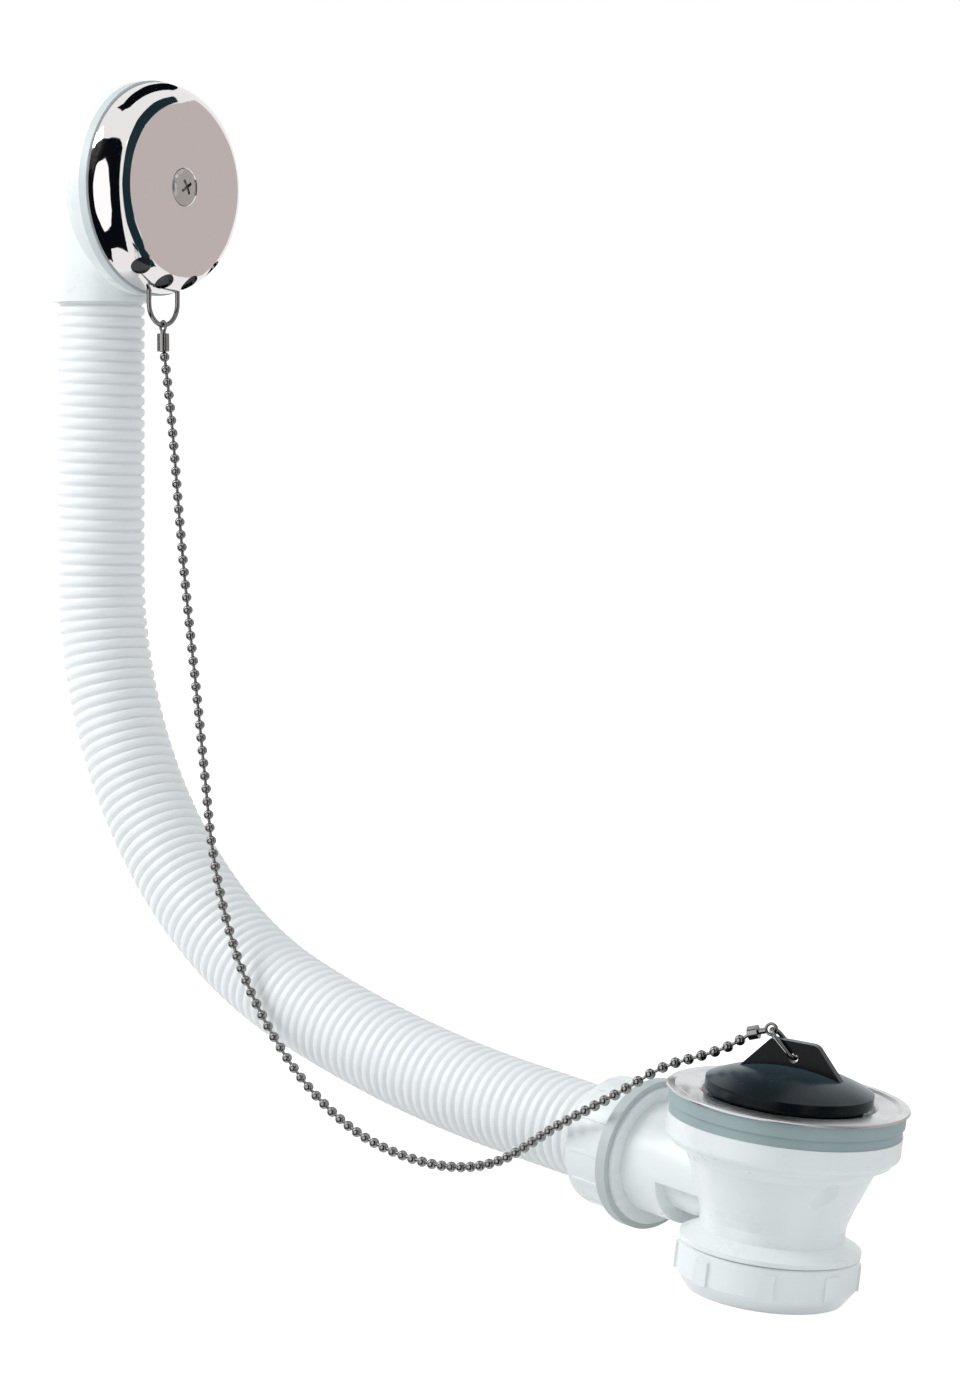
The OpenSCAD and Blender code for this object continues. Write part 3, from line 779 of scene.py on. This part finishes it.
@dataclass
class CorrugatedHose:
    """The white hose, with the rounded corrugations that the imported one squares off.

    Attributes:
        route: its centre line.
        crest: the radius on the corrugations' crests.
        depth: how deep the valleys are.
        wall: the thickness under a valley.
        cuff: the radius of the plain cuffs.
        pitch: about how far apart the crests are.
        lip: where the upper cuff ends, along the hose.
        lip_gap: from there to the first corrugation.
        cuff_start: where the upper cuff comes out of the elbow.
        cuff_end: the length of the lower cuff.
        sides: how many corners each ring has.
        bore_step: about how far apart the bore's rings are.
        valley_share: the share of a corrugation before its crest begins.
        crest_share: the share that the crest takes.
        squareness: the power that flattens the crest's top.
        shares: where the rings of one corrugation stand.
    """

    route: HoseRoute = field(default_factory=HoseRoute)
    crest: float = 14.2 * MM
    depth: float = 1.0 * MM
    wall: float = 1.2 * MM
    cuff: float = 13.6 * MM
    pitch: float = 3.66 * MM
    lip: float = 36.4 * MM
    lip_gap: float = 0.4 * MM
    cuff_start: float = 24.4 * MM
    cuff_end: float = 14.6 * MM
    sides: int = 64
    bore_step: float = 5.0 * MM
    valley_share: float = 0.14
    crest_share: float = 0.75
    squareness: float = 4.0
    shares: tuple[float, ...] = (0.0, 0.14, 0.17, 0.24, 0.36, 0.5, 0.64, 0.76, 0.83)

    def swell(self, share: float) -> float:
        """Gives the corrugation's height over the valley.

        Args:
            share: the place in one corrugation, from 0 to 1, from its valley.

        Returns:
            The height, from 0 in the valley to 1 on the crest.
        """
        inside = (share - self.valley_share) / self.crest_share
        if not 0.0 < inside < 1.0:
            return 0.0
        return (1.0 - abs(2.0 * inside - 1.0) ** self.squareness) ** 0.5

    def stations(self) -> list[tuple[float, float]]:
        """Sets out the rings of the outside.

        Returns:
            Each ring's place along the hose and its radius.
        """
        valley = self.crest - self.depth
        rings = [(self.cuff_start, self.cuff), (self.lip, self.cuff)]
        start = 0.0
        for number, (length, _) in enumerate(self.route.spans()):
            first = self.lip + self.lip_gap if number == 0 else start
            end = start + length
            count = round((end - first) / self.pitch)
            for ring in range(count):
                for share in self.shares:
                    place = first + (end - first) * (ring + share) / count
                    rings.append((place, valley + self.depth * self.swell(share)))
            start = end
        rings += [(start, valley), (start, self.cuff), (start + self.cuff_end, self.cuff)]
        return rings

    def ring(self, along: float, radius: float) -> list[Vector]:
        """Sets out one ring.

        Args:
            along: its place along the hose.
            radius: its radius.

        Returns:
            Its corners.
        """
        point, heading = self.route.at(along)
        side = Vector((-math.sin(heading), 0.0, math.cos(heading)))
        centre = Vector((point.x, 0.0, point.y))
        return [
            centre + radius * (math.cos(turn) * side + math.sin(turn) * Vector((0.0, 1.0, 0.0)))
            for turn in (2.0 * math.pi * i / self.sides for i in range(self.sides))
        ]

    def build(self) -> None:
        """Builds the hose's skin, outside and bore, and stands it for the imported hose."""
        outside = self.stations()
        bore = self.crest - self.depth - self.wall
        top, bottom = outside[0][0], outside[-1][0]
        count = round((bottom - top) / self.bore_step)
        inside = [(bottom + (top - bottom) * i / count, bore) for i in range(count + 1)]
        rings = outside + inside
        points = [corner for along, radius in rings for corner in self.ring(along, radius)]
        faces = []
        for low in range(len(rings)):
            high = (low + 1) % len(rings)
            for i in range(self.sides):
                j = (i + 1) % self.sides
                faces.append((
                    low * self.sides + i, low * self.sides + j,
                    high * self.sides + j, high * self.sides + i,
                ))
        material = WHITE_HOSE.material()
        piece = mesh_piece("corrugated_hose", points, faces, material, smooth=True)
        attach(piece, "root")
        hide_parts("hose")


@dataclass(frozen=True)
class Card:
    """A curved card or soft box round the object, seen only in what is glossy.

    Attributes:
        name: what it is.
        colour: its linear colour, as it is seen in a mirror.
        edges: pairs of directions, one on each long side of the card, from one end to the
            other; a direction is an azimuth from -Y towards +X and an elevation, in degrees.
        distance: how far from the centre it stands, in metres.
        steps: how many faces it has across, and along between two pairs.
    """

    name: str
    colour: Colour
    edges: tuple[tuple[Direction, Direction], ...]
    distance: float = 1.4
    steps: int = 6

    @staticmethod
    def way(direction: Direction) -> Vector:
        """Turns an azimuth and an elevation into a unit vector."""
        turn, lift = math.radians(direction[0]), math.radians(direction[1])
        return Vector((
            math.sin(turn) * math.cos(lift), -math.cos(turn) * math.cos(lift), math.sin(lift),
        ))

    def rows(self) -> list[list[Vector]]:
        """Returns the card's points, row by row along it."""
        ends = [(self.way(first), self.way(second)) for first, second in self.edges]
        rows = []
        for (first, second), (next_first, next_second) in zip(ends, ends[1:]):
            for along in range(self.steps + 1):
                low = first.lerp(next_first, along / self.steps)
                high = second.lerp(next_second, along / self.steps)
                rows.append([
                    low.lerp(high, across / self.steps).normalized() * self.distance
                    for across in range(self.steps + 1)
                ])
        return rows

    def build(self, centre: Vector) -> None:
        """Stands the card round the centre.

        Args:
            centre: the point that it is bent round.
        """
        rows = self.rows()
        wide = self.steps + 1
        points = [centre + point for row in rows for point in row]
        faces = [
            (row * wide + i, row * wide + i + 1, (row + 1) * wide + i + 1, (row + 1) * wide + i)
            for row in range(len(rows) - 1) for i in range(wide - 1)
        ]
        material, wiring = new_material(self.name)
        glow = wiring.add("ShaderNodeEmission", {"Color": (*self.colour, 1.0), "Strength": 1.0})
        wiring.close(glow.outputs[0])
        card = mesh_piece(self.name, points, faces, material)
        card.visible_camera = False
        card.visible_diffuse = False
        card.visible_shadow = False
        card.visible_transmission = False
        card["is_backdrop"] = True


BLACK_CARD: Colour = (0.003, 0.004, 0.006)
TEAL_CARD: Colour = (0.012, 0.03, 0.04)
BRIGHT_CARD: Colour = (1.25, 1.25, 1.25)
WARM_CARD: Colour = (0.61, 0.54, 0.53)

CARDS = (
    Card("dark room behind the camera", BLACK_CARD, (
        ((-76.0, -60.0), (-50.0, -6.0)), ((-46.0, -64.0), (-45.0, 30.0)),
        ((-10.0, -62.0), (-12.0, 46.0)), ((25.0, -60.0), (25.0, 53.0)),
        ((48.0, -58.0), (50.0, 51.0)), ((68.0, -56.0), (67.0, 40.0)),
    )),
    Card("soft box left of the camera", BRIGHT_CARD, (
        ((2.0, 27.0), (10.0, 29.0)), ((-18.0, 16.0), (26.0, 22.0)),
        ((-22.0, 0.0), (36.0, 4.0)), ((-20.0, -26.0), (38.0, -18.0)),
        ((-4.0, -44.0), (26.0, -36.0)),
    ), distance=1.3),
    Card("dark frame of the wall", TEAL_CARD, (
        ((118.0, -52.0), (127.0, -36.0)), ((97.0, -38.0), (115.0, -22.0)),
        ((80.0, -16.0), (104.0, -6.0)), ((76.0, 12.0), (104.0, 12.0)),
        ((82.0, 42.0), (108.0, 29.0)), ((104.0, 59.0), (122.0, 39.0)),
        ((150.0, 60.0), (143.0, 41.0)), ((176.0, 46.0), (164.0, 38.0)),
    )),
    Card("dark strip overhead", BLACK_CARD, (
        ((-78.0, 55.0), (-50.0, 72.0)), ((-85.0, 62.0), (-60.0, 84.0)),
        ((-120.0, 46.0), (-152.0, 66.0)), ((-131.0, 26.0), (-158.0, 42.0)),
        ((-133.0, 12.0), (-148.0, 32.0)),
    )),
    Card("warm grey wall", WARM_CARD, (
        ((112.0, -24.0), (106.0, 28.0)), ((130.0, -32.0), (130.0, 38.0)),
        ((160.0, -32.0), (160.0, 36.0)), ((190.0, -24.0), (190.0, 30.0)),
    )),
)


@dataclass(frozen=True)
class Lamp:
    """A square soft lamp that faces the object.

    Attributes:
        name: the lamp's name.
        place: where it stands.
        power: its power in watts.
        size: its width in metres.
    """

    name: str
    place: tuple[float, float, float]
    power: float
    size: float = 1.0

    def build(self, target: Vector) -> None:
        """Stands the lamp and turns it to the object.

        Args:
            target: the point that it faces.
        """
        data = bpy.data.lights.new(self.name, "AREA")
        data.size = self.size
        data.energy = self.power
        lamp = stand(self.name, data)
        lamp.location = self.place
        lamp.rotation_mode = "QUATERNION"
        lamp.rotation_quaternion = (target - Vector(self.place)).to_track_quat("-Z", "Y")


KEY_LAMP = Lamp("key soft box", (-1.2, -1.2, 0.95), power=17.0)
FILL_LAMP = Lamp("fill soft box", (1.2, 0.3, 1.1), power=3.0)


@dataclass
class Studio:
    """The camera, the pale floor, the white surround, the lamps and the cards.

    Attributes:
        azimuth: the camera's place, from -Y towards +X.
        elevation: its place above the level.
        roll: how far it is turned about its own axis.
        distance: from the camera to the target.
        target: the point that the camera looks at.
        focal_pixels: its focal length in pixels of the photograph.
        image_height: the photograph's height in pixels.
        sensor: the sensor's size in millimetres.
        clip: the nearest and the farthest that it sees.
        floor_half: half the floor's width.
        floor_colour: the floor's own colour.
        floor_lift: how much brighter the floor looks than it is lit.
        ambient: how strongly the surround lights the object.
        ambient_colour: the colour of that light.
        card_centre: the point that the cards stand round.
    """

    azimuth: float = math.radians(44.16)
    elevation: float = math.radians(8.49)
    roll: float = math.radians(6.62)
    distance: float = 1.56852
    target: Vector = field(default_factory=lambda: Vector((-0.1399, 0.0, 0.09466)))
    focal_pixels: float = 5225.81
    image_height: int = 1387
    sensor: float = 36.0
    clip: Span = (0.05, 60.0)
    floor_half: float = 12.0
    floor_colour: Colour = (0.9, 0.9, 0.9)
    floor_lift: float = 0.54
    ambient: float = 0.64
    ambient_colour: Colour = (0.93, 0.975, 1.0)
    card_centre: Vector = field(default_factory=lambda: Vector((-0.29, 0.0, 0.23)))

    def camera(self) -> None:
        """Places the camera where the photograph was taken from."""
        back = Vector((
            math.sin(self.azimuth) * math.cos(self.elevation),
            -math.cos(self.azimuth) * math.cos(self.elevation),
            math.sin(self.elevation),
        ))
        level = Vector((math.cos(self.azimuth), math.sin(self.azimuth), 0.0))
        upright = back.cross(level)
        right = math.cos(self.roll) * level + math.sin(self.roll) * upright
        up = -math.sin(self.roll) * level + math.cos(self.roll) * upright
        place = self.target + back * self.distance
        data = bpy.data.cameras.new("photograph camera")
        data.sensor_width = self.sensor
        data.lens = self.focal_pixels / self.image_height * self.sensor
        data.clip_start, data.clip_end = self.clip
        camera = stand("photograph camera", data)
        camera.matrix_world = Matrix((
            (right.x, up.x, back.x, place.x),
            (right.y, up.y, back.y, place.y),
            (right.z, up.z, back.z, place.z),
            (0.0, 0.0, 0.0, 1.0),
        ))
        bpy.context.scene.camera = camera

    def floor(self, level: float) -> None:
        """Lays the floor under the object.

        Args:
            level: the height that the object stands on.
        """
        material, wiring = new_material("pale floor")
        paper = wiring.add("ShaderNodeBsdfDiffuse", {"Color": (*self.floor_colour, 1.0)})
        seen = wiring.add("ShaderNodeLightPath").outputs["Is Camera Ray"]
        strength = wiring.maths(seen, Maths.TIMES, self.floor_lift)
        lift = wiring.add("ShaderNodeEmission", {"Strength": strength})
        both = wiring.add("ShaderNodeAddShader", {0: paper.outputs[0], 1: lift.outputs[0]})
        wiring.close(both.outputs[0])
        half = self.floor_half
        corners = [
            (-half, -half, level), (half, -half, level), (half, half, level), (-half, half, level),
        ]
        floor = mesh_piece("studio_floor", corners, [(0, 1, 2, 3)], material)
        floor.visible_glossy = False
        floor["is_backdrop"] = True

    def surround(self) -> None:
        """Makes the world: white where it is seen, softer where it lights."""
        world = bpy.data.worlds.new("white surround")
        world.use_nodes = True
        wiring = Wiring(world.node_tree)
        rays = wiring.add("ShaderNodeLightPath").outputs
        shown = wiring.maths(rays["Is Camera Ray"], Maths.LARGER, rays["Is Glossy Ray"])
        shown = wiring.maths(shown, Maths.LARGER, rays["Is Transmission Ray"])
        strength = wiring.ranged(shown, FULL, (self.ambient, 1.0))
        colour = wiring.tinted(shown, self.ambient_colour, WHITE)
        glow = wiring.add("ShaderNodeBackground", {"Color": colour, "Strength": strength})
        wiring.close(glow.outputs[0], "ShaderNodeOutputWorld")
        bpy.context.scene.world = world

    def build(self) -> None:
        """Sets up everything round the object."""
        low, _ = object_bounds()
        self.camera()
        self.floor(low.z)
        self.surround()
        for lamp in (KEY_LAMP, FILL_LAMP):
            lamp.build(self.target)
        for card in CARDS:
            card.build(self.card_centre)
        bpy.context.scene.view_settings.view_transform = "Standard"


def main() -> None:
    """Builds and dresses every sub-assembly, then the studio."""
    logging.basicConfig(level=logging.INFO, format="%(name)s %(message)s")
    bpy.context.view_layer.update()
    for part in (OverflowHead(), CorrugatedHose(), PlugAndChain(), WasteFitting(), Studio()):
        LOG.info("building %s", type(part).__name__)
        part.build()


if __name__ == "__main__":
    main()
